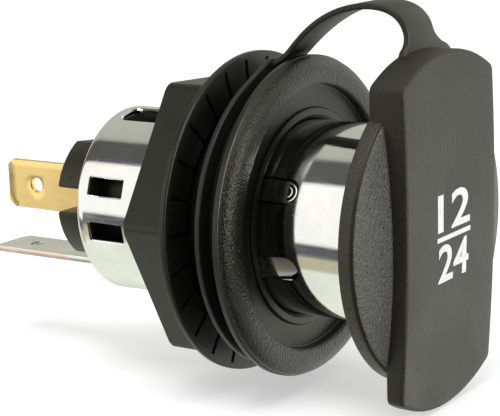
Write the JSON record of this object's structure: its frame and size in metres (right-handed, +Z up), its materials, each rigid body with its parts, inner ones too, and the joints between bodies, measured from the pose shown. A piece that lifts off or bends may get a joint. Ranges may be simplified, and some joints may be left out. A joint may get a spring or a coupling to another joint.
{
  "type": "car 12v power socket",
  "caption": "Round panel-mount 12 volt socket: flanged threaded housing with a hexagon nut, metal sleeve, two blade terminals and an oblong cap on a looped strap.",
  "frame": {"origin": "on the socket's axis, in the front face of the panel it is fixed in, which is the rear face of the strap's ring", "axes": "+Y along the axis towards the terminals, so the mouth faces -Y; +Z up, towards the strap's loop; +X to the right seen from the mouth"},
  "size_m": [0.0384, 0.0668, 0.0462],
  "materials": {
    "housing_plastic": "fine grain, half matt",
    "soft_plastic": "grained, matt, flexible",
    "insulator_plastic": "matt",
    "nickel_plate": "polished nickel plate on steel",
    "brass": "satin rolled strip",
    "tinned_strip": "tin plate on brass strip, with bare cut edges"
  },
  "bodies": {
    "housing_body": {"housing": "housing_plastic", "cap_strap": "soft_plastic"},
    "nut_body": {"hex_nut": "housing_plastic"},
    "insert_body": {"socket_shell": "nickel_plate", "rear_insulator": "insulator_plastic", "centre_contact": "brass", "positive_blade": "brass", "ground_blade": "tinned_strip"},
    "cap_body": {"cap": "soft_plastic"}
  },
  "joints": [
    {"name": "nut_travel", "type": "slide", "parent": "housing_body", "child": "nut_body", "axis": [0, 1, 0], "range_m": [-0.0025, 0.041]},
    {"name": "insert_slide", "type": "slide", "parent": "housing_body", "child": "insert_body", "axis": [0, 1, 0], "range_m": [0, 0.0127], "deforming": ["cap_strap"]},
    {"name": "cap_swing", "type": "hinge", "parent": "insert_body", "child": "cap_body", "pos_m": [0, -0.01898, 0.0224], "axis": [-1, 0, 0], "range_deg": [0, 110], "deforming": ["cap_strap"]}
  ]
}
